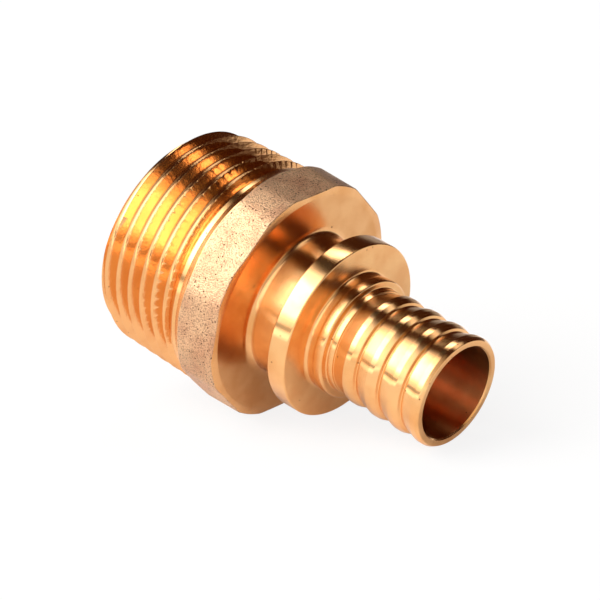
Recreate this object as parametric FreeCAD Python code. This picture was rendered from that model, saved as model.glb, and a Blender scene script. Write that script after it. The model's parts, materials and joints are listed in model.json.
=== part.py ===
import FreeCAD, Part
import os
from math import atan2, cos, degrees, pi, radians, sin

os.makedirs("parts", exist_ok=True)

# Male adapter for 20 mm cross-linked polyethylene pipe, turned from one brass forging:
# ribbed spigot, sleeve stop collar, neck, eight-sided wrench section and 1 inch taper thread.
# It is drawn along the X axis with the spigot's mouth at x = 0 and the thread toward -X,
# then laid down as it rests on a table. Millimetres, +Z up.

# Driving dimensions: places along the axis, measured back from the mouth
collar_front = 19.7
collar_width = 3.1
neck_length = 6.1
wrench_width = 7.0
shoulder_cone_length = 1.0
shoulder_ring_width = 0.7
undercut_width = 0.5
thread_length = 13.9

# Driving dimensions: ribbed spigot
spigot_bore_diameter = 13.8
mouth_lead_in = 0.2
mouth_rim_diameter = 15.8
rib_diameter = 16.4
rib_groove_diameter = 15.0
rib_shoulder_diameter = 15.9
rib_count = 4
rib_pitch = 4.02
rib_land_width = 0.8
rib_shoulder_width = 0.8
rib_step_width = 0.2
mouth_chamfer_width = 0.5

# Driving dimensions: bead and groove at the spigot's root
root_groove_diameter = 15.7
root_groove_width = 1.1
bead_diameter = 17.8
bead_land_width = 0.9
bead_chamfer = 0.25
root_chamfer = 0.65

# Driving dimensions: collar and neck
collar_diameter = 26.1
collar_chamfer = 0.25
neck_diameter = 20.6
neck_collar_chamfer = 0.4
neck_face_radius = 1.9
neck_face_cuts = 3

# Driving dimensions: wrench section
wrench_sides = 8
wrench_across_flats = 34.0
wrench_blank_diameter = 35.2
wrench_face_diameter = 33.0
front_chamfer_length = 0.8
rear_chamfer_length = 0.7
rear_chamfer_diameter = 33.9
shoulder_ring_diameter = 32.7

# Driving dimensions: 1 inch taper pipe thread, 11 turns to the inch, taper 1 in 16
thread_pitch = 2.309
thread_gauge_diameter = 33.249
thread_gauge_length = 10.4
thread_taper = 1 / 16
thread_depth = 1.479
thread_crest_width = 0.34
thread_start_angle = 160.8
cutter_clearance = 0.15
undercut_diameter = 30.4
thread_end_chamfer_length = 1.8
thread_end_chamfer_depth = 1.0

# Driving dimensions: waterway
thread_bore_diameter = 26.6
thread_bore_depth = 19.0
bore_cone_length = 5.5
bore_end_chamfer = 0.5


def at_radius(x, diameter):
    """Point of an outline at the place x along the axis and at half the given diameter."""
    return FreeCAD.Vector(x, diameter / 2, 0)


def revolved(outline):
    """Solid of revolution about the X axis under an outline of points, leaving out repeats."""
    first = FreeCAD.Vector(outline[0].x, 0, 0)
    last = FreeCAD.Vector(outline[-1].x, 0, 0)
    corners = [first]
    for point in outline + [last, first]:
        if point.distanceToPoint(corners[-1]) > same_point:
            corners.append(point)
    face = Part.Face(Part.makePolygon(corners))
    turned = face.revolve(FreeCAD.Vector(0, 0, 0), FreeCAD.Vector(1, 0, 0), 360)
    return Part.makeSolid(turned.Shells[0])


# Places along the axis that follow from the sizes
collar_back = collar_front + collar_width
wrench_front = collar_back + neck_length
wrench_middle = wrench_front + wrench_width / 2
wrench_back = wrench_front + wrench_width
cone_back = wrench_back + shoulder_cone_length
ring_back = cone_back + shoulder_ring_width
undercut_back = ring_back + undercut_width
thread_end = undercut_back + thread_length
gauge_plane = thread_end - thread_gauge_length
cone_angle = degrees(atan2(thread_taper / 2, 1))
same_point = 1e-6


def rib_outline(land_start):
    """Points of one rib from its mouth side to the end of its land.

    A rib has a short step and a worn shoulder toward the mouth and a narrow
    cylindrical land. From there a long gentle rise runs down to the next step.
    """
    shoulder = land_start - rib_shoulder_width
    return [
        at_radius(-(shoulder - rib_step_width), rib_groove_diameter),
        at_radius(-shoulder, rib_shoulder_diameter),
        at_radius(-land_start, rib_diameter),
        at_radius(-(land_start + rib_land_width), rib_diameter),
    ]


def spigot_outline():
    """Points from the mouth rim over the ribs, the root groove and the bead to the collar."""
    points = [
        at_radius(0, spigot_bore_diameter),
        at_radius(0, mouth_rim_diameter),
    ]
    for index in range(rib_count):
        rib = rib_outline(mouth_chamfer_width + index * rib_pitch)
        points += rib[2:] if index == 0 else rib
    groove_front = mouth_chamfer_width + rib_count * rib_pitch - rib_shoulder_width - rib_step_width
    groove_back = groove_front + root_groove_width
    land_front = groove_back + bead_chamfer
    land_back = land_front + bead_land_width
    bead_rim = bead_diameter - 2 * bead_chamfer
    return points + [
        at_radius(-groove_front, rib_groove_diameter),
        at_radius(-groove_front, root_groove_diameter),
        at_radius(-groove_back, root_groove_diameter),
        at_radius(-groove_back, bead_rim),
        at_radius(-land_front, bead_diameter),
        at_radius(-land_back, bead_diameter),
        at_radius(-(land_back + bead_chamfer), bead_rim),
        at_radius(-(collar_front - root_chamfer), bead_rim),
        at_radius(-collar_front, bead_rim + 2 * root_chamfer),
    ]


def collar_and_neck_outline():
    """Points over the collar and the neck, running on into the wrench section."""
    collar_rim = collar_diameter - 2 * collar_chamfer
    points = [
        at_radius(-collar_front, collar_rim),
        at_radius(-(collar_front + collar_chamfer), collar_diameter),
        at_radius(-(collar_back - collar_chamfer), collar_diameter),
        at_radius(-collar_back, collar_rim),
        at_radius(-collar_back, neck_diameter + 2 * neck_collar_chamfer),
        at_radius(-(collar_back + neck_collar_chamfer), neck_diameter),
    ]
    centre = at_radius(-(wrench_front - neck_face_radius), neck_diameter + 2 * neck_face_radius)
    for index in range(neck_face_cuts + 1):
        turn = pi / 2 * index / neck_face_cuts
        points.append(centre - FreeCAD.Vector(sin(turn), cos(turn), 0) * neck_face_radius)
    points.append(at_radius(-wrench_middle, neck_diameter + 2 * neck_face_radius))
    return points


def front_body():
    """Spigot, collar and neck as one turned solid that runs on into the wrench section."""
    return revolved(spigot_outline() + collar_and_neck_outline())


def wrench_body():
    """Eight-sided wrench section with turned chamfers, and the round shoulder behind it."""
    blank = revolved([
        at_radius(-wrench_front, wrench_face_diameter),
        at_radius(-(wrench_front + front_chamfer_length), wrench_blank_diameter),
        at_radius(-(wrench_back - rear_chamfer_length), wrench_blank_diameter),
        at_radius(-wrench_back, rear_chamfer_diameter),
        at_radius(-cone_back, shoulder_ring_diameter),
    ])
    corner_radius = wrench_across_flats / 2 / cos(pi / wrench_sides)
    corners = []
    for index in range(wrench_sides + 1):
        turn = (index + 0.5) * 2 * pi / wrench_sides
        corners.append(FreeCAD.Vector(-wrench_front, corner_radius * sin(turn), -corner_radius * cos(turn)))
    prism = Part.Face(Part.makePolygon(corners)).extrude(FreeCAD.Vector(wrench_front - cone_back, 0, 0))
    ring = revolved([
        at_radius(-cone_back, shoulder_ring_diameter),
        at_radius(-ring_back, shoulder_ring_diameter),
        at_radius(-ring_back, undercut_diameter),
        at_radius(-undercut_back, undercut_diameter),
    ])
    return blank.common(prism).fuse(ring)


def crest_diameter(distance):
    """Diameter over the taper thread's crests at a distance back from the mouth."""
    return thread_gauge_diameter + (gauge_plane - distance) * thread_taper


def thread_cutter():
    """Groove of V section between the crests, swept along a right-hand helix on the thread's cone."""
    start = thread_end + thread_pitch
    length = thread_length + 2 * thread_pitch
    root_radius = crest_diameter(start) / 2 - thread_depth
    cutter_depth = thread_depth + cutter_clearance
    half_width = (thread_pitch - thread_crest_width) / 2 * cutter_depth / thread_depth
    root = FreeCAD.Vector(root_radius, 0, 0)
    groove = Part.makePolygon([
        root,
        root + FreeCAD.Vector(cutter_depth, 0, -half_width),
        root + FreeCAD.Vector(cutter_depth, 0, half_width),
        root,
    ])
    path = Part.makeLongHelix(thread_pitch, length, root_radius, cone_angle)
    cutter = Part.Wire(path.Edges).makePipeShell([groove], True, True)
    cutter.rotate(FreeCAD.Vector(0, 0, 0), FreeCAD.Vector(0, 1, 0), 90)
    cutter.rotate(FreeCAD.Vector(0, 0, 0), FreeCAD.Vector(1, 0, 0), thread_start_angle)
    cutter.translate(FreeCAD.Vector(-start, 0, 0))
    return cutter


def threaded_body():
    """Tapered, threaded end with its lead chamfer."""
    chamfer_start = thread_end - thread_end_chamfer_length
    blank = revolved([
        at_radius(-undercut_back, crest_diameter(undercut_back)),
        at_radius(-chamfer_start, crest_diameter(chamfer_start)),
        at_radius(-thread_end, crest_diameter(chamfer_start) - 2 * thread_end_chamfer_depth),
    ])
    return blank.cut(thread_cutter())


def waterway():
    """Passage through the adapter: spigot bore, cone and the wider bore in the thread."""
    wide_end = thread_end - thread_bore_depth
    narrow_start = wide_end - bore_cone_length
    return revolved([
        at_radius(0, spigot_bore_diameter + 2 * mouth_lead_in),
        at_radius(-mouth_lead_in, spigot_bore_diameter),
        at_radius(-narrow_start, spigot_bore_diameter),
        at_radius(-wide_end, thread_bore_diameter),
        at_radius(-(thread_end - bore_end_chamfer), thread_bore_diameter),
        at_radius(-thread_end, thread_bore_diameter + 2 * bore_end_chamfer),
    ])


def at_rest(shape):
    """Lay the adapter down on one flat's front edge and the rim of the spigot."""
    drop = (wrench_across_flats - rib_diameter) / 2
    reach = wrench_front - mouth_chamfer_width
    laid = shape.copy()
    laid.rotate(FreeCAD.Vector(0, 0, 0), FreeCAD.Vector(0, 1, 0), degrees(atan2(drop, reach)))
    box = laid.optimalBoundingBox(False, False)
    laid.translate(FreeCAD.Vector(-box.Center.x, -box.Center.y, -box.ZMin))
    return laid


def adapter_body():
    """Whole adapter as one solid, bored through."""
    outside = front_body().fuse([wrench_body(), threaded_body()])
    return outside.cut(waterway()).removeSplitter()


adapter = at_rest(adapter_body())
adapter.exportStep("parts/adapter_body.step")
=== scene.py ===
"""Dressed model of a one-piece brass pex male adapter, lying nose down on a pale studio table.

The real adapter is turned and milled from one forging, so its skin is built as one closed
mesh: from the spigot's mouth over the ribs, collar and wrench section to the thread, round
the thread's end and back through the waterway. Each stretch takes the finish that its own
tool left on the metal. Lengths are millimetres until the skin is placed in the frame. The
section classes hold diameters, widths along the axis and places back from the mouth; their
edges, corners and roundings are radii.
"""

import json
import logging
import math
from dataclasses import dataclass
from enum import Enum

import bmesh
import bpy
from mathutils import Matrix, Quaternion, Vector

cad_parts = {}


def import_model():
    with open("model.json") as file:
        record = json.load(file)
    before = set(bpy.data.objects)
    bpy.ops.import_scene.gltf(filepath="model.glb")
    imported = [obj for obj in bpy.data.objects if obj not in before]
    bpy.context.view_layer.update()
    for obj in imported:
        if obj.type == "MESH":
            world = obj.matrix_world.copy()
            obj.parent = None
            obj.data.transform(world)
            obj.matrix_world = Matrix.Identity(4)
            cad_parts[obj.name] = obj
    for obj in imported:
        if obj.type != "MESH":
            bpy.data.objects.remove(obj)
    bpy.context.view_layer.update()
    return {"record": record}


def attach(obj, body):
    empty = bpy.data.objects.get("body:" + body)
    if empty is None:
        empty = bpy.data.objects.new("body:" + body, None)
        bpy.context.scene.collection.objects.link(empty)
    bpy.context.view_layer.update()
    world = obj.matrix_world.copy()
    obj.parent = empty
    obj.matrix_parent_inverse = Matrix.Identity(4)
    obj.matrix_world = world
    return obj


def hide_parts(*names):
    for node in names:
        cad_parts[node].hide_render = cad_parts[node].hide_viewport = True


log = logging.getLogger("pex_adapter")

MILLIMETRE = 0.001
FULL_TURN = 360.0
WHITE = (1.0, 1.0, 1.0, 1.0)
SHARP_EDGE = 40.0  # Degrees between two faces from which their edge is shaded sharp.
MOST_OF_SIDE = 0.45  # Share of a side that one rounding may take, so that two fit on it.
SHEER = 0.02  # How far a steep wall leans, in mm.
JOIN_WIDTH = 0.1  # Width along the section of the faces that join two rings, in mm.
NICK_PHASE = 12.9898  # Radians by which the nicks' unevenness moves on from nick to nick.
TURN_PHASE = 4.1  # Radians by which it moves on from turn to turn of the thread.


class Finish(Enum):
    """What a tool left on the brass; the value is the material's name."""

    TURNED = "turned_brass"
    FACED = "faced_brass"
    THREADED = "threaded_brass"
    BLASTED = "blasted_brass"
    # Bored brass, its colour painted darker than the rest as painted shade inside the bore.
    BORED = "bored_brass_painted_shade"


@dataclass(frozen=True)
class Station:
    """One point of the skin's section at some angle.

    Args:
        along: Distance back from the mouth along the adapter's axis, in mm.
        radius: Distance from the axis, in mm.
        finish: Finish of the skin from here to the next station.
        travel: Distance along the section up to here, in mm.
    """

    along: float
    radius: float
    finish: Finish
    travel: float = 0.0


@dataclass(frozen=True)
class Corner:
    """A corner of a section, before its edge is broken by a small rounding.

    Args:
        along: Distance back from the mouth, in mm.
        diameter: Diameter at the corner, in mm.
        rounding: Radius of the broken edge, in mm; zero keeps the corner sharp.
        finish: Finish of the skin from here to the next corner.
    """

    along: float
    diameter: float
    rounding: float = 0.0
    finish: Finish = Finish.TURNED


def rounded(corners: list[Corner], steps: int = 4) -> list[Station]:
    """Breaks the corners of a section.

    Args:
        corners: The section's corners in order; the first and last stay sharp.
        steps: Straight bands that stand for one rounding.

    Returns:
        The stations of the section, always the same number for the same corners.
    """
    stations = [Station(corners[0].along, corners[0].diameter / 2, corners[0].finish)]
    for before, corner, after in zip(corners, corners[1:], corners[2:]):
        here = Vector((corner.along, corner.diameter / 2))
        if corner.rounding == 0.0:
            stations.append(Station(here.x, here.y, corner.finish))
            continue
        back = Vector((before.along, before.diameter / 2)) - here
        ahead = Vector((after.along, after.diameter / 2)) - here
        turn = math.pi - back.angle(ahead)
        cut = min(corner.rounding * math.tan(turn / 2), MOST_OF_SIDE * min(back.length, ahead.length))
        start = here + back.normalized() * cut
        end = here + ahead.normalized() * cut
        for step in range(steps + 1):
            share = step / steps
            point = start * (1 - share) ** 2 + here * 2 * share * (1 - share) + end * share**2
            stations.append(Station(point.x, point.y, corner.finish))
    stations.append(Station(corners[-1].along, corners[-1].diameter / 2, corners[-1].finish))
    return travelled(stations)


def travelled(stations: list[Station]) -> list[Station]:
    """Gives each station its distance along the section.

    Args:
        stations: Stations in order along the section.

    Returns:
        The same stations with their distances.
    """
    travel = 0.0
    found = [stations[0]]
    for before, station in zip(stations, stations[1:]):
        travel += math.hypot(station.along - before.along, station.radius - before.radius)
        found.append(Station(station.along, station.radius, station.finish, travel))
    return found


@dataclass(frozen=True)
class RibbedSpigot:
    """Spigot that the plastic pipe is pressed onto: mouth rim, four ribs, root groove and bead."""

    bore: float = 13.8
    lead_in: float = 0.2
    rim: float = 15.8
    rib: float = 16.4
    groove: float = 15.0
    shoulder: float = 15.9
    ribs: int = 4
    pitch: float = 4.02
    land: float = 0.8
    shoulder_width: float = 0.8
    step: float = 0.2
    first_land: float = 0.5
    root_groove: float = 15.7
    root_groove_width: float = 1.1
    bead: float = 17.8
    bead_width: float = 1.4
    bead_rounding: float = 0.35
    root_rounding: float = 0.9
    root: float = 17.3
    back: float = 19.7
    rim_edge: float = 0.15
    step_edge: float = 0.12
    shoulder_edge: float = 0.3
    land_edge: float = 0.35
    groove_edge: float = 0.1
    groove_corner: float = 0.2
    bead_foot: float = 0.3

    def corners(self) -> list[Corner]:
        """Lays out the spigot.

        Returns:
            Corners from the mouth rim back to the collar's front face.
        """
        corners = [Corner(0.0, self.bore + 2 * self.lead_in), Corner(0.0, self.rim, self.rim_edge)]
        for index in range(self.ribs):
            land = self.first_land + index * self.pitch
            if index:
                shoulder = land - self.shoulder_width
                corners.append(Corner(shoulder - self.step, self.groove, self.step_edge))
                corners.append(Corner(shoulder, self.shoulder, self.step_edge))
            corners.append(Corner(land, self.rib, self.shoulder_edge))
            corners.append(Corner(land + self.land, self.rib, self.land_edge))
        groove_front = self.first_land + self.ribs * self.pitch - self.shoulder_width - self.step
        groove_back = groove_front + self.root_groove_width
        bead_back = groove_back + self.bead_width
        corners += [
            Corner(groove_front, self.groove, self.groove_edge),
            Corner(groove_front + SHEER, self.root_groove, self.groove_edge),
            Corner(groove_back, self.root_groove, self.groove_corner),
            Corner(groove_back + SHEER, self.bead, self.bead_rounding),
            Corner(bead_back, self.bead, self.bead_rounding),
            Corner(bead_back + self.bead_foot, self.root, self.bead_foot),
            Corner(self.back, self.root, self.root_rounding),
        ]
        return corners


@dataclass(frozen=True)
class CollarAndNeck:
    """Stop collar for the press sleeve, and the neck that runs into the wrench section's face."""

    front: float = 19.7
    width: float = 3.1
    diameter: float = 26.1
    edge: float = 0.25
    neck: float = 20.6
    neck_length: float = 6.1
    collar_rounding: float = 0.5
    face_rounding: float = 1.2

    def corners(self) -> list[Corner]:
        """Lays out collar and neck.

        Returns:
            Corners from the collar's front edge back to the foot of the neck.
        """
        back = self.front + self.width
        return [
            Corner(self.front, self.diameter, self.edge),
            Corner(back, self.diameter, self.edge),
            Corner(back, self.neck, self.collar_rounding),
            Corner(back + self.neck_length, self.neck, self.face_rounding, Finish.FACED),
        ]


@dataclass(frozen=True)
class WrenchSection:
    """Eight-sided wrench section with turned chamfers, round shoulder and relief groove."""

    front: float = 28.9
    width: float = 7.0
    sides: int = 8
    across_flats: float = 34.0
    front_blank: float = 35.0
    rear_blank: float = 35.4
    face: float = 32.6
    front_chamfer: float = 0.22
    rear_chamfer: float = 0.7
    rear: float = 33.9
    cone_length: float = 1.0
    ring: float = 32.7
    ring_width: float = 0.7
    relief: float = 32.0
    relief_width: float = 0.25
    soft_edge: float = 0.15
    face_edge: float = 0.25
    shoulder_edge: float = 0.1
    ring_edge: float = 0.12

    def flat_radius(self, angle: float, blank: float) -> float:
        """Distance from the axis to the flats' skin.

        Args:
            angle: Angle round the axis in degrees.
            blank: Diameter over the corners there, in mm.

        Returns:
            The distance in mm.
        """
        sector = FULL_TURN / self.sides
        from_middle = (angle + sector / 2) % sector - sector / 2
        return min(self.across_flats / 2 / math.cos(math.radians(from_middle)), blank / 2)

    def corners(self, angle: float) -> list[Corner]:
        """Lays out the wrench section and the shoulder at one angle.

        Args:
            angle: Angle round the axis in degrees.

        Returns:
            Corners from the front face back to the relief groove's far wall.
        """
        front_flat = self.flat_radius(angle, self.front_blank)
        rear_flat = self.flat_radius(angle, self.rear_blank)
        face, rear = self.face / 2, self.rear / 2
        back = self.front + self.width
        chamfer_end = self.front + self.front_chamfer * (front_flat - face) / (self.front_blank / 2 - face)
        chamfer_start = back - self.rear_chamfer * (rear_flat - rear) / (self.rear_blank / 2 - rear)
        cone_end = back + self.cone_length
        ring_end = cone_end + self.ring_width
        return [
            Corner(self.front, self.face, self.face_edge, Finish.FACED),
            Corner(chamfer_end, 2 * front_flat, self.soft_edge, Finish.BLASTED),
            Corner(chamfer_start, 2 * rear_flat, self.soft_edge, Finish.TURNED),
            Corner(back, self.rear, self.shoulder_edge, Finish.TURNED),
            Corner(cone_end, self.ring, self.shoulder_edge, Finish.TURNED),
            Corner(ring_end, self.ring, self.ring_edge, Finish.TURNED),
            Corner(ring_end + SHEER, self.relief, self.ring_edge, Finish.TURNED),
            Corner(ring_end + self.relief_width, self.relief, 0.0, Finish.THREADED),
        ]


@dataclass(frozen=True)
class FrontEnd:
    """Everything in front of the thread, as one section that changes with the angle."""

    spigot: RibbedSpigot = RibbedSpigot()
    collar: CollarAndNeck = CollarAndNeck()
    wrench: WrenchSection = WrenchSection()
    columns_per_side: int = 30
    crowding: float = 1.6

    def angles(self) -> list[float]:
        """Spaces the columns, crowded toward the wrench section's corners.

        Returns:
            Their angles in degrees, rising from 0 to below 360.
        """
        sector = FULL_TURN / self.wrench.sides
        half = self.columns_per_side // 2
        found = []
        for side in range(self.wrench.sides):
            corner = (side + 0.5) * sector
            for index in range(1 - half, half + 1):
                offset = sector / 2 * (abs(index) / half) ** self.crowding
                found.append((corner + math.copysign(offset, index)) % FULL_TURN)
        return sorted(found)

    def column(self, angle: float) -> list[Station]:
        """Stations at one angle from the mouth back to the thread."""
        corners = self.spigot.corners() + self.collar.corners() + self.wrench.corners(angle)
        return rounded(corners)


@dataclass(frozen=True)
class TaperThread:
    """1 inch taper pipe thread, right-hand, with nicked crests.

    The groove's middle lies at `groove_along` where the angle is `groove_angle`, and
    moves toward the mouth by one pitch for each turn of the angle.
    """

    front: float = 38.1
    end: float = 52.0
    pitch: float = 2.309
    gauge: float = 33.249
    gauge_along: float = 41.6
    taper: float = 1 / 16
    depth: float = 1.479
    flank: float = 62.5
    crest_rounding: float = 0.04
    chamfer_length: float = 1.8
    chamfer_depth: float = 1.0
    groove_along: float = 54.309
    groove_angle: float = 70.8
    nicks_per_turn: int = 76
    nick_depth: float = 0.08
    nick_share: float = 0.18
    nick_unevenness: float = 0.3
    last_nick: float = 0.35
    nick_columns: tuple[float, ...] = (-0.34, -0.15, -0.07, 0.0, 0.07, 0.15, 0.34)
    arc_shares: tuple[float, ...] = (-1.0, -0.66, -0.25, 0.25, 0.66, 1.0)
    flank_shares: tuple[float, float] = (0.06, 0.97)

    def angles(self) -> list[float]:
        """Spaces the columns, crowded round the middle of each nick.

        Returns:
            Their angles in degrees, rising from 0 to below 360.
        """
        places = [nick + offset for nick in range(self.nicks_per_turn) for offset in self.nick_columns]
        return sorted((place / self.nicks_per_turn * FULL_TURN) % FULL_TURN for place in places)

    def root_rounding(self) -> float:
        """Works out the root's rounding from the pitch, the depth, the flanks and the crest.

        Returns:
            Its radius in mm.
        """
        flank = math.radians(self.flank)
        sharp = self.pitch / 2 * math.tan(flank)
        return (sharp - self.depth) / (1 / math.cos(flank) - 1) - self.crest_rounding

    def period(self) -> list[tuple[float, float]]:
        """Lays out one pitch from the groove's middle on.

        Root and crest are arcs tangent to straight flanks. A station close behind each arc
        keeps the flank's shading straight.

        Returns:
            Offset and height over the root of each point, in mm.
        """
        turns = [math.radians(self.flank * share) for share in self.arc_shares]
        bend = [(math.sin(turn), 1 - math.cos(turn)) for turn in turns]
        root = [(self.root_rounding() * offset, self.root_rounding() * height) for offset, height in bend]
        crest = [(self.pitch / 2 + self.crest_rounding * offset, self.depth - self.crest_rounding * height)
                 for offset, height in bend]
        (low_at, low), (high_at, high) = root[-1], crest[0]
        near = [(low_at + share * (high_at - low_at), low + share * (high - low))
                for share in self.flank_shares]
        far = [(self.pitch - offset, height) for offset, height in reversed(near)]
        return root + near + crest + far

    def crest_radius(self, along: float) -> float:
        """Radius over the crests at a distance back from the mouth."""
        return (self.gauge + (self.gauge_along - along) * self.taper) / 2

    def nick(self, angle: float, along: float) -> float:
        """Works out how deep the crest is nicked, which fades toward the thread's end.

        Args:
            angle: Angle round the axis in degrees.
            along: Distance back from the mouth, in mm.

        Returns:
            The depth in mm.
        """
        place = angle * self.nicks_per_turn / FULL_TURN
        apart = min(1.0, abs(place - round(place)) / self.nick_share)
        notch = 0.5 + 0.5 * math.cos(math.pi * apart)
        phase = NICK_PHASE * round(place) + TURN_PHASE * round(along / self.pitch)
        uneven = 1 - self.nick_unevenness + self.nick_unevenness * math.sin(phase)
        fade = max(self.last_nick, 1 - (along - self.front) / (self.end - self.front))
        return self.nick_depth * notch * uneven * fade

    def column(self, angle: float) -> list[Station]:
        """Lays out the thread at one angle.

        Args:
            angle: Angle round the axis in degrees.

        Returns:
            Stations from the relief groove to the thread's end face, always the same number.
        """
        middle = self.groove_along - self.pitch * (angle - self.groove_angle) / FULL_TURN
        turns = math.ceil((self.end - self.front) / self.pitch) + 2
        first = middle - self.pitch * (turns + 1)
        raw = []
        for turn in range(turns + 2):
            for offset, height in self.period():
                along = first + turn * self.pitch + offset
                crest = self.crest_radius(along)
                raw.append((along, min(crest - self.depth + height, crest - self.nick(angle, along))))
        at_front, at_end = self.radius_at(raw, self.front), self.radius_at(raw, self.end)
        stations = []
        for point in travelled([Station(along, radius, Finish.THREADED) for along, radius in raw]):
            along, radius = point.along, point.radius
            if along <= self.front:
                along, radius = self.front, at_front
            elif along >= self.end:
                along, radius = self.end, at_end
            stations.append(Station(along, min(radius, self.lead(along)), point.finish, point.travel))
        return stations

    def radius_at(self, raw: list[tuple[float, float]], bound: float) -> float:
        """Finds where a column of points crosses a bound along the axis.

        Args:
            raw: Distance back from the mouth and radius of each point, in mm.
            bound: The bound's distance back from the mouth, in mm.

        Returns:
            The radius there, in mm.
        """
        for (a, low), (b, high) in zip(raw, raw[1:]):
            if a <= bound < b:
                return low + (high - low) * (bound - a) / (b - a)
        raise ValueError("the thread's points don't reach its end")

    def lead(self, along: float) -> float:
        """Finds the largest radius that the chamfer at the thread's end leaves.

        Args:
            along: Distance back from the mouth, in mm.

        Returns:
            The radius in mm.
        """
        chamfer_front = self.end - self.chamfer_length
        slope = self.chamfer_depth / self.chamfer_length
        return self.crest_radius(min(along, chamfer_front)) - max(0.0, along - chamfer_front) * slope


@dataclass(frozen=True)
class Waterway:
    """Passage through the adapter: wide bore behind the thread, cone and spigot bore."""

    end: float = 52.0
    wide: float = 26.6
    wide_depth: float = 19.0
    cone_length: float = 5.5
    end_chamfer: float = 0.5
    bore: float = 13.8
    lead_in: float = 0.2
    wide_edge: float = 0.1
    cone_edge: float = 0.4

    def column(self) -> list[Station]:
        """Lays out the waterway, which is the same at every angle.

        Returns:
            Stations from the thread's end face forward to the mouth's lead-in.
        """
        cone_back = self.end - self.wide_depth
        return rounded([
            Corner(self.end, self.wide + 2 * self.end_chamfer, 0.0, Finish.TURNED),
            Corner(self.end - self.end_chamfer, self.wide, self.wide_edge, Finish.BORED),
            Corner(cone_back, self.wide, self.cone_edge, Finish.BORED),
            Corner(cone_back - self.cone_length, self.bore, self.cone_edge, Finish.BORED),
            Corner(self.lead_in, self.bore, 0.0, Finish.TURNED),
        ])


class Skin:
    """Closed skin of the adapter, grown section by section from the mouth round to the mouth."""

    def __init__(self, placement: Matrix) -> None:
        """Starts an empty skin.

        Args:
            placement: Matrix from the adapter's own axes, in mm, to the frame, in metres.
        """
        self.placement = placement
        self.mesh = bmesh.new()
        self.lathe = self.mesh.loops.layers.uv.new("lathe")
        self.open_ring: list[bmesh.types.BMVert] = []
        self.open_angles: list[float] = []
        self.first_ring: list[bmesh.types.BMVert] = []

    def vertex(self, angle: float, station: Station) -> bmesh.types.BMVert:
        """Adds the vertex at a station.

        Args:
            angle: Angle of the station's column, in degrees.
            station: The station.

        Returns:
            The new vertex.
        """
        turn = math.radians(angle)
        across = station.radius * math.cos(turn)
        up = station.radius * math.sin(turn)
        return self.mesh.verts.new(self.placement @ Vector((-station.along, across, up)))

    def face(self, corners: list[tuple[bmesh.types.BMVert, float, float]], finish: Finish) -> None:
        """Adds a face, leaving out corners that coincide.

        Args:
            corners: Vertex, turns round the axis and mm along the section for each corner.
            finish: The face's finish.
        """
        distinct = {vertex: (turns, travel) for vertex, turns, travel in reversed(corners)}
        ordered = list(dict.fromkeys(vertex for vertex, _, _ in corners))
        if len(ordered) < 3:
            return
        made = self.mesh.faces.new(ordered)
        made.material_index = list(Finish).index(finish)
        made.smooth = True
        for loop in made.loops:
            loop[self.lathe].uv = distinct[loop.vert]

    def section(self, angles: list[float], columns: list[list[Station]], seam_shift: int = 0) -> None:
        """Adds a section, sewn on where the skin is open.

        Args:
            angles: Angle of each column in degrees, rising from 0 to below 360.
            columns: Stations of each column, all columns with the same number.
            seam_shift: Places by which the last column's stations run ahead of the first's.
        """
        grid = []
        for angle, stations in zip(angles, columns):
            vertices = [self.vertex(angle, stations[0])]
            for before, station in zip(stations, stations[1:]):
                same = (station.along, station.radius) == (before.along, before.radius)
                vertices.append(vertices[-1] if same else self.vertex(angle, station))
            grid.append(vertices)
        if self.open_ring:
            self.sew([column[0] for column in grid], angles, columns[0][0].finish)
        else:
            self.first_ring = [column[0] for column in grid]
        for index, angle in enumerate(angles):
            following = (index + 1) % len(angles)
            shift = seam_shift if following == 0 else 0
            turns = angle / FULL_TURN
            next_turns = angles[following] / FULL_TURN + (1.0 if following == 0 else 0.0)
            here, there, stations = grid[index], grid[following], columns[index]
            for row in range(shift, len(here) - 1):
                other = row - shift
                self.face([
                    (here[row], turns, stations[row].travel),
                    (there[other], next_turns, stations[row].travel),
                    (there[other + 1], next_turns, stations[row + 1].travel),
                    (here[row + 1], turns, stations[row + 1].travel),
                ], stations[row].finish)
        self.open_ring = [column[-1] for column in grid]
        self.open_angles = angles

    def sew(self, ring: list[bmesh.types.BMVert], angles: list[float], finish: Finish) -> None:
        """Joins the open ring to another ring, whose columns may stand at other angles.

        Args:
            ring: Vertices of the other ring.
            angles: Their angles in degrees, rising from 0 to below 360.
            finish: Finish of the joining faces.
        """
        near, far = 0, 0
        near_count, far_count = len(self.open_ring), len(ring)
        while near < near_count or far < far_count:
            near_next = self.open_angles[(near + 1) % near_count] + FULL_TURN * ((near + 1) // near_count)
            far_next = angles[(far + 1) % far_count] + FULL_TURN * ((far + 1) // far_count)
            near_corner = (self.open_ring[near % near_count], near / near_count, 0.0)
            far_corner = (ring[far % far_count], far / far_count, JOIN_WIDTH)
            if far >= far_count or (near < near_count and near_next <= far_next):
                near += 1
                third = (self.open_ring[near % near_count], near / near_count, 0.0)
            else:
                far += 1
                third = (ring[far % far_count], far / far_count, JOIN_WIDTH)
            self.face([near_corner, far_corner, third], finish)

    def close(self, finish: Finish) -> None:
        """Joins the last open ring to the very first one, which has its columns at the same angles."""
        self.sew(self.first_ring, self.open_angles, finish)

    def finished(self, name: str) -> bpy.types.Object:
        """Turns the skin into an object.

        Args:
            name: The object's name.

        Returns:
            The object, linked to the scene.
        """
        bmesh.ops.recalc_face_normals(self.mesh, faces=self.mesh.faces)
        loose = sum(1 for edge in self.mesh.edges if len(edge.link_faces) != 2)
        log.info("%s: %d faces, %d open edges", name, len(self.mesh.faces), loose)
        data = bpy.data.meshes.new(name)
        self.mesh.to_mesh(data)
        self.mesh.free()
        data.set_sharp_from_angle(angle=math.radians(SHARP_EDGE))
        made = bpy.data.objects.new(name, data)
        bpy.context.scene.collection.objects.link(made)
        return made


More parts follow.
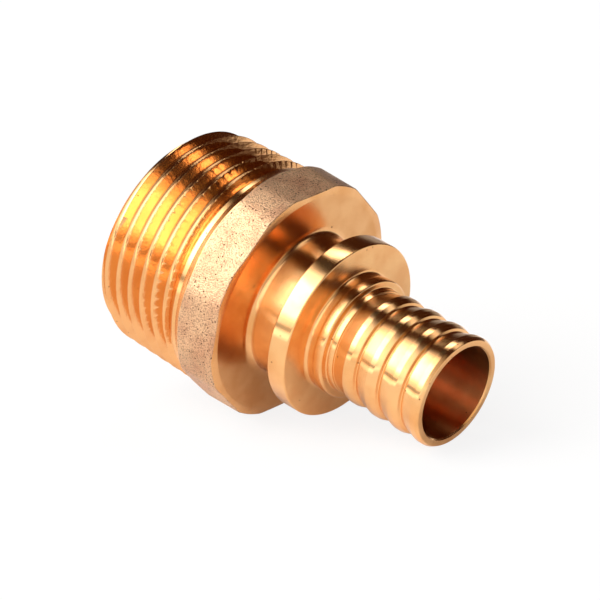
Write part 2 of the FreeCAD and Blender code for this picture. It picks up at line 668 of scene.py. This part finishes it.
def linear(colour: str) -> tuple[float, float, float, float]:
    """Turns an sRGB hex colour such as #E8B57A into the linear values that a shader takes."""
    channels = [int(colour[i:i + 2], 16) / 255 for i in (1, 3, 5)]
    return (*[c / 12.92 if c <= 0.04045 else ((c + 0.055) / 1.055) ** 2.4 for c in channels], 1.0)


def add_node(tree: bpy.types.NodeTree, kind: str, settings: dict | None = None,
             links: dict | None = None) -> bpy.types.Node:
    """Adds a node to a material or to the world.

    Args:
        tree: The node tree.
        kind: The node's type, such as ShaderNodeTexNoise.
        settings: Values by property name, or by input socket name or place.
        links: Output sockets of other nodes by input socket name or place.

    Returns:
        The new node.
    """
    node = tree.nodes.new(kind)
    for name, value in (settings or {}).items():
        if isinstance(name, str) and hasattr(node, name):
            setattr(node, name, value)
        else:
            node.inputs[name].default_value = value
    for name, output in (links or {}).items():
        tree.links.new(output, node.inputs[name])
    return node


# What all finishes share: the stains' size and the relief of marks and grain in mm, the cells
# of the marks' noise in one turn, few so that a mark runs far round, and the noises' detail.
STAIN_SIZE = 4.0
MARK_RELIEF = 0.02
GRAIN_RELIEF = 0.15
MARKS_ROUND = 5.0
NOISE_DETAIL = 4.0
# Noise values between which clean metal turns to stained, and between which painted shade darkens the grain's
# hollows.
STAIN_BOUNDS = (0.4, 0.66)
HOLLOW_SHADE_BOUNDS = (0.52, 0.36)
PIT_CORE = 0.7  # Share of a pit's size that is fully dark.
ACROSS_MARKS = 0.25  # Turn of the brushing, in full turns, that lays it across the marks.


@dataclass(frozen=True)
class Brass:
    """Leaded brass, bare metal: the tool's marks and the grain set how it shines.

    Args:
        finish: The finish that this material dresses.
        clean: Colour of the metal where it is clean.
        stained: Colour where the metal is slightly darker.
        roughness: Roughness of the metal.
        brushing: How far the tool's marks spread a reflection across themselves, from 0 to 1.
        mark_spacing: Distance between tool marks along the section, in mm.
        mark_depth: Strength of the tool marks.
        grain: Size of the surface's unevenness, in mm.
        grain_depth: Strength of the unevenness.
        hollow_shade: How far painted shade darkens the grain's hollows, from 0 to 1.
        pit: Distance between pits and specks, in mm.
        pit_size: Size of a pit as a share of that distance.
        pitted: Share of the places that have a pit.
        pit_colour: Colour of the pits.
    """

    finish: Finish
    clean: str
    stained: str
    roughness: float
    brushing: float
    mark_spacing: float
    mark_depth: float
    grain: float
    grain_depth: float
    hollow_shade: float = 0.0
    pit: float = 0.9
    pit_size: float = 0.14
    pitted: float = 0.08
    pit_colour: str = "#6A3A1C"

    def material(self) -> bpy.types.Material:
        """Builds the material.

        Returns:
            The material, named for its finish.
        """
        made = bpy.data.materials.new(self.finish.value)
        made.use_nodes = True
        tree = made.node_tree
        tree.nodes.clear()
        place = add_node(tree, "ShaderNodeTexCoord")
        lathe = add_node(tree, "ShaderNodeUVMap", {"uv_map": "lathe"})
        marks_place = add_node(
            tree, "ShaderNodeMapping", {"Scale": (MARKS_ROUND, 1 / self.mark_spacing, 1.0)},
            {"Vector": lathe.outputs["UV"]},
        )
        marks = add_node(
            tree, "ShaderNodeTexNoise", {"noise_dimensions": "2D", "Scale": 1.0, "Detail": NOISE_DETAIL},
            {"Vector": marks_place.outputs["Vector"]},
        )
        grain = add_node(
            tree, "ShaderNodeTexNoise", {"Scale": 1 / (self.grain * MILLIMETRE), "Detail": NOISE_DETAIL},
            {"Vector": place.outputs["Object"]},
        )
        stains = add_node(
            tree, "ShaderNodeTexNoise", {"Scale": 1 / (STAIN_SIZE * MILLIMETRE), "Detail": NOISE_DETAIL},
            {"Vector": place.outputs["Object"]},
        )
        stained = add_node(
            tree, "ShaderNodeMapRange", {"From Min": STAIN_BOUNDS[0], "From Max": STAIN_BOUNDS[1]},
            {"Value": stains.outputs["Fac"]},
        )
        tone = add_node(
            tree, "ShaderNodeMix", {"data_type": "RGBA", 6: linear(self.clean), 7: linear(self.stained)},
            {0: stained.outputs["Result"]},
        )
        pits = add_node(
            tree, "ShaderNodeTexVoronoi", {"Scale": 1 / (self.pit * MILLIMETRE)},
            {"Vector": place.outputs["Object"]},
        )
        chance = add_node(tree, "ShaderNodeSeparateColor", {}, {"Color": pits.outputs["Color"]})
        picked = add_node(
            tree, "ShaderNodeMath", {"operation": "LESS_THAN", 1: self.pitted}, {0: chance.outputs["Red"]}
        )
        inside = add_node(
            tree, "ShaderNodeMapRange", {"From Min": self.pit_size, "From Max": PIT_CORE * self.pit_size},
            {"Value": pits.outputs["Distance"]},
        )
        pit = add_node(
            tree, "ShaderNodeMath", {"operation": "MULTIPLY"},
            {0: picked.outputs["Value"], 1: inside.outputs["Result"]},
        )
        # Painted shade: the colour darkens where the grain's noise is low, in its hollows.
        hollows = add_node(
            tree, "ShaderNodeMapRange",
            {"From Min": HOLLOW_SHADE_BOUNDS[0], "From Max": HOLLOW_SHADE_BOUNDS[1], "To Max": self.hollow_shade},
            {"Value": grain.outputs["Fac"]},
        )
        # Darkest of a pit speck and the painted shade in the grain's hollows.
        dark = add_node(
            tree, "ShaderNodeMath", {"operation": "MAXIMUM"},
            {0: pit.outputs["Value"], 1: hollows.outputs["Result"]},
        )
        colour = add_node(
            tree, "ShaderNodeMix", {"data_type": "RGBA", 7: linear(self.pit_colour)},
            {0: dark.outputs["Value"], 6: tone.outputs[2]},
        )
        mark_bump = add_node(
            tree, "ShaderNodeBump", {"Strength": self.mark_depth, "Distance": MARK_RELIEF * MILLIMETRE},
            {"Height": marks.outputs["Fac"]},
        )
        bump = add_node(
            tree, "ShaderNodeBump", {"Strength": self.grain_depth, "Distance": GRAIN_RELIEF * MILLIMETRE},
            {"Height": grain.outputs["Fac"], "Normal": mark_bump.outputs["Normal"]},
        )
        along_marks = add_node(tree, "ShaderNodeTangent", {"direction_type": "UV_MAP", "uv_map": "lathe"})
        shader = add_node(
            tree, "ShaderNodeBsdfPrincipled",
            {"Metallic": 1.0, "Roughness": self.roughness, "Anisotropic": self.brushing,
             "Anisotropic Rotation": ACROSS_MARKS},
            {"Base Color": colour.outputs[2], "Normal": bump.outputs["Normal"],
             "Tangent": along_marks.outputs["Tangent"]},
        )
        add_node(tree, "ShaderNodeOutputMaterial", {}, {"Surface": shader.outputs["BSDF"]})
        return made


FINISHES = (
    # Leaded brass, turned: bright bands that smear along the axis and stay sharp round it.
    # The feed marks are finer on the real one and are drawn 0.25 mm apart so that they show.
    Brass(
        Finish.TURNED, clean="#F3BC80", stained="#EAAC6E", roughness=0.2, brushing=0.85,
        mark_spacing=0.25, mark_depth=0.15, grain=0.4, grain_depth=0.0,
    ),
    # Leaded brass, faced flat: a softer mirror with a few specks, in which neck and table blur.
    Brass(
        Finish.FACED, clean="#E9B178", stained="#DDA064", roughness=0.22, brushing=0.5,
        mark_spacing=0.3, mark_depth=0.15, grain=0.4, grain_depth=0.0,
        pit=1.4, pit_size=0.12, pitted=0.1,
    ),
    # Leaded brass with a cut thread: the sharpest mirror, a little torn, so its bands mottle.
    Brass(
        Finish.THREADED, clean="#EDB47A", stained="#E6A86E", roughness=0.15, brushing=0.5,
        mark_spacing=0.2, mark_depth=0.15, grain=0.5, grain_depth=0.12,
        pit=0.9, pit_size=0.12, pitted=0.05,
    ),
    # Leaded brass, forged and shot blasted: a pale matt skin full of small dark pits, with painted shade in the
    # grain's hollows.
    # The shot's dimples are finer on the real one and are drawn coarser so that they show.
    Brass(
        Finish.BLASTED, clean="#DFB48C", stained="#CC9A76", roughness=0.42, brushing=0.0,
        mark_spacing=0.3, mark_depth=0.0, grain=0.22, grain_depth=0.8,
        hollow_shade=0.5, pit=0.5, pit_size=0.28, pitted=0.3, pit_colour="#4A3222",
    ),
    # Leaded brass, bored: rings round the bore spread the light along it, and it darkens inward. Its colours
    # are brass painted darker than the other finishes, as painted shade inside the bore.
    Brass(
        Finish.BORED, clean="#D8965C", stained="#C8824C", roughness=0.28, brushing=0.95,
        mark_spacing=0.3, mark_depth=0.2, grain=0.4, grain_depth=0.0,
    ),
)


@dataclass(frozen=True)
class Adapter:
    """The whole adapter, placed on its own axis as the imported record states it."""

    front_end: FrontEnd = FrontEnd()
    thread: TaperThread = TaperThread()
    waterway: Waterway = Waterway()

    def placement(self, record: dict) -> Matrix:
        """Works out where the adapter's own axes lie in the frame.

        Args:
            record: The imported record, whose spigot bore gives a point and a direction on the axis.

        Returns:
            The matrix from the adapter's own axes, in mm, to the frame, in metres.
        """
        bore = next(mount for mount in record["mounts"] if mount["name"] == "spigot_bore")
        axis = Vector(bore["axis"])
        slope = math.atan2(-axis.z, axis.x)
        turn = Matrix.Rotation(slope, 4, "Y")
        wall_start = turn @ Vector((-self.waterway.lead_in * MILLIMETRE, 0.0, 0.0))
        mouth = Vector(bore["pos_m"]) - wall_start
        return Matrix.Translation(mouth) @ turn @ Matrix.Scale(MILLIMETRE, 4)

    def build(self, record: dict) -> bpy.types.Object:
        """Builds and dresses the adapter.

        Args:
            record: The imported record.

        Returns:
            The dressed object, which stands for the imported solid.
        """
        skin = Skin(self.placement(record))
        front_angles = self.front_end.angles()
        skin.section(front_angles, [self.front_end.column(angle) for angle in front_angles])
        thread_angles = self.thread.angles()
        skin.section(thread_angles, [self.thread.column(angle) for angle in thread_angles],
                     seam_shift=len(self.thread.period()))
        skin.section(front_angles, [self.waterway.column()] * len(front_angles))
        skin.close(Finish.TURNED)
        made = skin.finished("pex_adapter")
        for brass in FINISHES:
            made.data.materials.append(brass.material())
        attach(made, "root")
        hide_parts("adapter_body")
        return made


@dataclass(frozen=True)
class TentPanel:
    """Patch of the light tent round the table.

    Args:
        azimuths: Its two sides in degrees, from +Y toward +X.
        elevations: Its lower and upper edge in degrees above the table.
        strength: Its brightness, where 1 is white.
        edges: Width in degrees of its soft sides and of its soft upper and lower edge.
        colour: Colour of its cloth or card.
    """

    azimuths: tuple[float, float]
    elevations: tuple[float, float]
    strength: float
    edges: tuple[float, float]
    colour: str = "#FFFFFF"

    def mask(self, tree: bpy.types.NodeTree, azimuth: bpy.types.NodeSocket,
             elevation: bpy.types.NodeSocket) -> bpy.types.NodeSocket:
        """Adds the nodes that are 1 inside the panel and 0 outside.

        Args:
            tree: The world's nodes.
            azimuth: Azimuth of the direction looked at, in degrees.
            elevation: Its elevation in degrees.

        Returns:
            The socket that carries the mask.
        """
        shares = []
        for angle, (low, high), edge in ((azimuth, self.azimuths, self.edges[0]),
                                         (elevation, self.elevations, self.edges[1])):
            middle, half = (low + high) / 2, (high - low) / 2
            turned = add_node(
                tree, "ShaderNodeMath",
                {"operation": "WRAP", 1: middle + FULL_TURN / 2, 2: middle - FULL_TURN / 2}, {0: angle},
            )
            away = add_node(tree, "ShaderNodeMath", {"operation": "SUBTRACT", 1: middle},
                            {0: turned.outputs["Value"]})
            apart = add_node(tree, "ShaderNodeMath", {"operation": "ABSOLUTE"}, {0: away.outputs["Value"]})
            share = add_node(
                tree, "ShaderNodeMapRange",
                {"interpolation_type": "SMOOTHSTEP", "From Min": half + edge / 2, "From Max": half - edge / 2},
                {"Value": apart.outputs["Value"]},
            )
            shares.append(share.outputs["Result"])
        both = add_node(tree, "ShaderNodeMath", {"operation": "MULTIPLY"}, {0: shares[0], 1: shares[1]})
        return both.outputs["Value"]


@dataclass(frozen=True)
class Studio:
    """White table in a light tent: bright cloth at the left, dimmer cloth round it, dark gaps and roof.

    Args:
        table_size: Side of the square table in metres; past it the metal mirrors the tent.
        table: Colour of the table's paint.
        glow_to_camera: Share of plain white that the camera sees in the table.
        glow_to_metal: Share of it that the metal sees.
        roof: Colour of the dark cloth where no panel hangs.
        panels: The panels, each over those before it.
    """

    table_size: float = 0.56
    table: str = "#ECEBE9"
    glow_to_camera: float = 0.85
    glow_to_metal: float = 0.15
    roof: str = "#402414"
    panels: tuple[TentPanel, ...] = (
        # Dim cloth in front, growing brighter toward the left.
        TentPanel((100.0, 274.0), (-12.0, 56.0), 0.7, (30.0, 14.0)),
        TentPanel((142.0, 270.0), (-12.0, 76.0), 1.8, (24.0, 12.0)),
        TentPanel((170.0, 266.0), (18.0, 71.0), 2.6, (20.0, 14.0)),
        # Cloth right before the lamp at the left.
        TentPanel((192.0, 252.0), (21.0, 59.0), 5.6, (14.0, 8.0)),
        # Bright foot of that cloth, and the dark rail over it.
        TentPanel((164.0, 264.0), (-12.0, 4.5), 2.2, (30.0, 2.0)),
        TentPanel((176.0, 266.0), (5.0, 10.5), 0.4, (12.0, 2.0)),
        # Dark roof over the lamp.
        TentPanel((238.0, 300.0), (67.0, 96.0), 0.05, (12.0, 6.0)),
        # Dim wall behind, and a narrow bright strip high over it that fades to the right.
        TentPanel((298.0, 350.0), (-10.0, 16.0), 0.4, (10.0, 12.0)),
        TentPanel((304.0, 354.0), (58.0, 70.0), 5.0, (12.0, 4.0)),
        TentPanel((356.0, 420.0), (55.0, 68.0), 1.2, (10.0, 8.0)),
        # White card at the right, cream card in front of the mouth.
        TentPanel((36.0, 62.0), (36.0, 56.0), 1.4, (10.0, 8.0)),
        TentPanel((80.0, 114.0), (-12.0, 20.0), 1.0, (6.0, 10.0), "#FFF0D0"),
    )

    def build(self) -> None:
        """Builds the table and the world."""
        data = bpy.data.meshes.new("studio_table")
        half = self.table_size / 2
        data.from_pydata([(-half, -half, 0), (half, -half, 0), (half, half, 0), (-half, half, 0)], [],
                         [(0, 1, 2, 3)])
        table = bpy.data.objects.new("studio_table", data)
        bpy.context.scene.collection.objects.link(table)
        data.materials.append(self.table_top())
        self.world()
        bpy.context.scene.view_settings.view_transform = "Standard"

    def table_top(self) -> bpy.types.Material:
        """Builds the table's white, which glows a little where the camera or the metal sees it.

        Returns:
            The table's material.
        """
        made = bpy.data.materials.new("white_table")
        made.use_nodes = True
        tree = made.node_tree
        tree.nodes.clear()
        path = add_node(tree, "ShaderNodeLightPath")
        bounced = add_node(
            tree, "ShaderNodeMath", {"operation": "MAXIMUM"},
            {0: path.outputs["Is Glossy Ray"], 1: path.outputs["Is Transmission Ray"]},
        )
        mirrored = add_node(
            tree, "ShaderNodeMath", {"operation": "MULTIPLY", 1: self.glow_to_metal},
            {0: bounced.outputs["Value"]},
        )
        share = add_node(
            tree, "ShaderNodeMath", {"operation": "MULTIPLY_ADD", 1: self.glow_to_camera},
            {0: path.outputs["Is Camera Ray"], 2: mirrored.outputs["Value"]},
        )
        paint = add_node(tree, "ShaderNodeBsdfDiffuse", {"Color": linear(self.table)})
        glow = add_node(tree, "ShaderNodeEmission", {"Color": WHITE, "Strength": 1.0})
        mixed = add_node(
            tree, "ShaderNodeMixShader", {},
            {0: share.outputs["Value"], 1: paint.outputs["BSDF"], 2: glow.outputs["Emission"]},
        )
        add_node(tree, "ShaderNodeOutputMaterial", {}, {"Surface": mixed.outputs["Shader"]})
        return made

    def world(self) -> None:
        """Builds the tent, and white where the camera looks past the table."""
        world = bpy.data.worlds.new("studio")
        bpy.context.scene.world = world
        world.use_nodes = True
        tree = world.node_tree
        tree.nodes.clear()
        place = add_node(tree, "ShaderNodeTexCoord")
        split = add_node(tree, "ShaderNodeSeparateXYZ", {}, {0: place.outputs["Generated"]})
        radians_round = add_node(
            tree, "ShaderNodeMath", {"operation": "ARCTAN2"}, {0: split.outputs["X"], 1: split.outputs["Y"]}
        )
        azimuth = add_node(
            tree, "ShaderNodeMath", {"operation": "DEGREES"}, {0: radians_round.outputs["Value"]}
        )
        radians_up = add_node(tree, "ShaderNodeMath", {"operation": "ARCSINE"}, {0: split.outputs["Z"]})
        elevation = add_node(tree, "ShaderNodeMath", {"operation": "DEGREES"}, {0: radians_up.outputs["Value"]})
        colour = None
        for panel in self.panels:
            mask = panel.mask(tree, azimuth.outputs["Value"], elevation.outputs["Value"])
            light = tuple(channel * panel.strength for channel in linear(panel.colour)[:3]) + (1.0,)
            over = add_node(
                tree, "ShaderNodeMix",
                {"data_type": "RGBA", 6: linear(self.roof), 7: light, "clamp_result": False},
                {0: mask} | ({6: colour} if colour else {}),
            )
            colour = over.outputs[2]
        path = add_node(tree, "ShaderNodeLightPath")
        tent = add_node(tree, "ShaderNodeBackground", {"Strength": 1.0}, {"Color": colour})
        white = add_node(tree, "ShaderNodeBackground", {"Color": WHITE, "Strength": 1.0})
        seen = add_node(
            tree, "ShaderNodeMath", {"operation": "MAXIMUM"},
            {0: path.outputs["Is Camera Ray"], 1: path.outputs["Is Transmission Ray"]},
        )
        mixed = add_node(
            tree, "ShaderNodeMixShader", {},
            {0: seen.outputs["Value"], 1: tent.outputs["Background"], 2: white.outputs["Background"]},
        )
        add_node(tree, "ShaderNodeOutputWorld", {}, {"Surface": mixed.outputs["Shader"]})


@dataclass(frozen=True)
class PhotoCamera:
    """Long lens that looks down along the adapter, as the photograph was taken.

    Args:
        place: Where the camera stands, in metres.
        target: Point in the middle of the picture, in metres.
        lens: Focal length in mm.
        sensor: Width of the sensor in mm.
        roll: Clockwise lean of the camera, in degrees.
    """

    place: Vector = Vector((0.35043, -0.37565, 0.18890))
    target: Vector = Vector((-0.00068, -0.00076, 0.01687))
    lens: float = 235.7
    sensor: float = 36.0
    roll: float = 4.86

    def build(self) -> None:
        """Makes the camera and gives it to the scene."""
        data = bpy.data.cameras.new("photo_camera")
        data.lens = self.lens
        data.sensor_width = self.sensor
        camera = bpy.data.objects.new("photo_camera", data)
        bpy.context.scene.collection.objects.link(camera)
        level = (self.target - self.place).to_track_quat("-Z", "Y")
        camera.rotation_mode = "QUATERNION"
        camera.rotation_quaternion = level @ Quaternion((0.0, 0.0, 1.0), -math.radians(self.roll))
        camera.location = self.place
        bpy.context.scene.camera = camera


def main() -> None:
    """Builds the adapter, the studio and the camera."""
    logging.basicConfig(level=logging.INFO, format="%(name)s: %(message)s")
    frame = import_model()
    adapter = Adapter().build(frame["record"])
    log.info("built %s", adapter.name)
    Studio().build()
    PhotoCamera().build()


if __name__ == "__main__":
    main()
